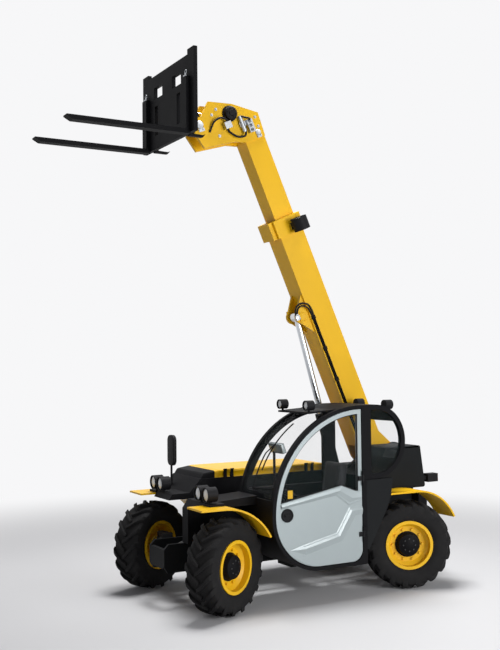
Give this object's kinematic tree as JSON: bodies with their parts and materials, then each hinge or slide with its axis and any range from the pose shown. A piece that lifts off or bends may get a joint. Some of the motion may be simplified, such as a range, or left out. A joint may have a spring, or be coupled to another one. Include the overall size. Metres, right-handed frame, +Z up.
{
  "type": "telehandler",
  "caption": "Compact telehandler with a rounded side cab, raised telescopic boom, pallet forks on a tilting carriage and steered wheels on both axles.",
  "frame": {"origin": "centre of the bounding box on the ground plane", "axes": "+X forward along the forks, +Y to the left side of the machine, +Z up"},
  "size_m": [4.3972, 2.0866, 5.4692],
  "materials": {
    "yellow_paint": "gloss",
    "black_paint": "satin",
    "charcoal_paint": "satin",
    "silver_paint": "satin",
    "bare_steel": "satin",
    "chrome_rod": "polished",
    "cast_grey": "matt",
    "clear_glass": "clear",
    "tyre_rubber": "matt",
    "black_plastic": "matt",
    "seat_fabric": "woven",
    "red_lens": "gloss",
    "amber_lens": "gloss",
    "clear_lens": "clear",
    "mirror_face": "polished",
    "hose_rubber": "matt"
  },
  "bodies": {
    "chassis": {"chassis_frame": "charcoal_paint", "counterweight": "black_paint", "front_axle": "cast_grey", "rear_axle": "cast_grey", "driveline": "cast_grey", "engine_block": "cast_grey", "cab_floor": "black_paint", "cab_left_frame": "black_paint", "cab_right_frame": "black_paint", "cab_roof": "black_paint", "cab_rear_wall": "black_paint", "windscreen": "clear_glass", "cab_windows": "clear_glass", "seat": "seat_fabric", "controls": "black_plastic", "fenders": "yellow_paint", "headlights": "black_plastic", "mirror": "black_plastic", "tail_lights": "black_plastic", "work_lights": "black_plastic", "rear_panel": "charcoal_paint", "rear_cowl": "charcoal_paint", "front_cowl": "black_paint", "right_body": "black_paint"},
    "engine_lid": {"bonnet": "yellow_paint"},
    "door": {"door_panel": "silver_paint", "door_glass": "clear_glass", "door_handle": "black_plastic"},
    "boom": {"boom_outer": "yellow_paint", "boom_pipes": "bare_steel", "boom_light": "black_plastic"},
    "boom_tip": {"boom_inner": "yellow_paint", "head_fittings": "bare_steel"},
    "lift_cylinder": {"lift_barrel": "black_paint"},
    "lift_piston": {"lift_rod": "chrome_rod"},
    "tilt_cylinder": {"tilt_barrel": "black_paint"},
    "tilt_piston": {"tilt_rod": "chrome_rod"},
    "fork_carriage": {"carriage": "black_paint", "forks": "black_paint"},
    "front_left_hub": {"front_left_knuckle": "cast_grey"},
    "front_left_wheel": {"front_left_rim": "yellow_paint", "front_left_tyre": "tyre_rubber"},
    "front_right_hub": {"front_right_knuckle": "cast_grey"},
    "front_right_wheel": {"front_right_rim": "yellow_paint", "front_right_tyre": "tyre_rubber"},
    "rear_left_hub": {"rear_left_knuckle": "cast_grey"},
    "rear_left_wheel": {"rear_left_rim": "yellow_paint", "rear_left_tyre": "tyre_rubber"},
    "rear_right_hub": {"rear_right_knuckle": "cast_grey"},
    "rear_right_wheel": {"rear_right_rim": "yellow_paint", "rear_right_tyre": "tyre_rubber"}
  },
  "joints": [
    {"name": "boom_lift", "type": "hinge", "parent": "chassis", "child": "boom", "pos_m": [-1.75, 0, 1.36], "axis": [0, -1, 0], "range_deg": [-72, 2]},
    {"name": "boom_extend", "type": "slide", "parent": "boom", "child": "boom_tip", "axis": [0.4003, 0, 0.9164], "range_m": [-0.86, 0.8]},
    {"name": "carriage_tilt", "type": "hinge", "parent": "boom_tip", "child": "fork_carriage", "pos_m": [0.64019, 0, 4.84016], "axis": [0, 1, 0], "range_deg": [-84, 45]},
    {"name": "lift_cylinder_swing", "type": "hinge", "parent": "chassis", "child": "lift_cylinder", "pos_m": [-1.2, 0, 0.72], "axis": [0, -1, 0], "range_deg": [-76, 4]},
    {"name": "lift_cylinder_stroke", "type": "slide", "parent": "lift_cylinder", "child": "lift_piston", "axis": [0.2746, 0, 0.9615], "range_m": [-1.02, 0.06]},
    {"name": "tilt_cylinder_swing", "type": "hinge", "parent": "boom_tip", "child": "tilt_cylinder", "pos_m": [-0.05403, 0, 4.84227], "axis": [0, 1, 0], "range_deg": [-6, 4]},
    {"name": "tilt_cylinder_stroke", "type": "slide", "parent": "tilt_cylinder", "child": "tilt_piston", "axis": [0.9788, 0, 0.2047], "range_m": [-0.26, 0.16]},
    {"name": "door_hinge", "type": "hinge", "parent": "chassis", "child": "door", "pos_m": [-0.789, 0.892, 0.9], "axis": [0, 0, 1], "range_deg": [0, 85]},
    {"name": "engine_lid_hinge", "type": "hinge", "parent": "chassis", "child": "engine_lid", "pos_m": [-0.35, -0.187, 1.262], "axis": [-1, 0, 0], "range_deg": [0, 60]},
    {"name": "front_left_steer", "type": "hinge", "parent": "chassis", "child": "front_left_hub", "pos_m": [0.78, 0.5875, 0.46], "axis": [0, 0, 1], "range_deg": [-61, 9]},
    {"name": "front_left_spin", "type": "hinge", "parent": "front_left_hub", "child": "front_left_wheel", "pos_m": [0.71424, 0.72232, 0.46], "axis": [-0.4384, 0.8988, 0], "continuous": true},
    {"name": "front_right_steer", "type": "hinge", "parent": "chassis", "child": "front_right_hub", "pos_m": [0.78, -0.5875, 0.46], "axis": [0, 0, 1], "range_deg": [-61, 9]},
    {"name": "front_right_spin", "type": "hinge", "parent": "front_right_hub", "child": "front_right_wheel", "pos_m": [0.84576, -0.72232, 0.46], "axis": [-0.4384, 0.8988, 0], "continuous": true},
    {"name": "rear_left_steer", "type": "hinge", "parent": "chassis", "child": "rear_left_hub", "pos_m": [-1.52, 0.5875, 0.46], "axis": [0, 0, 1], "range_deg": [-12, 58]},
    {"name": "rear_left_spin", "type": "hinge", "parent": "rear_left_hub", "child": "rear_left_wheel", "pos_m": [-1.46139, 0.72558, 0.46], "axis": [0.3907, 0.9205, 0], "continuous": true},
    {"name": "rear_right_steer", "type": "hinge", "parent": "chassis", "child": "rear_right_hub", "pos_m": [-1.52, -0.5875, 0.46], "axis": [0, 0, 1], "range_deg": [-12, 58]},
    {"name": "rear_right_spin", "type": "hinge", "parent": "rear_right_hub", "child": "rear_right_wheel", "pos_m": [-1.57861, -0.72558, 0.46], "axis": [0.3907, 0.9205, 0], "continuous": true}
  ],
  "couplings": [
    {"joint": "lift_cylinder_swing", "follows": "boom_lift", "ratio": 1.0285},
    {"joint": "lift_cylinder_stroke", "follows": "boom_lift", "m_per_rad": 0.78795},
    {"joint": "tilt_cylinder_swing", "follows": "carriage_tilt", "ratio": 0.05},
    {"joint": "tilt_cylinder_stroke", "follows": "carriage_tilt", "m_per_rad": 0.13537},
    {"joint": "front_right_steer", "follows": "front_left_steer", "ratio": 1},
    {"joint": "rear_right_steer", "follows": "rear_left_steer", "ratio": 1}
  ]
}
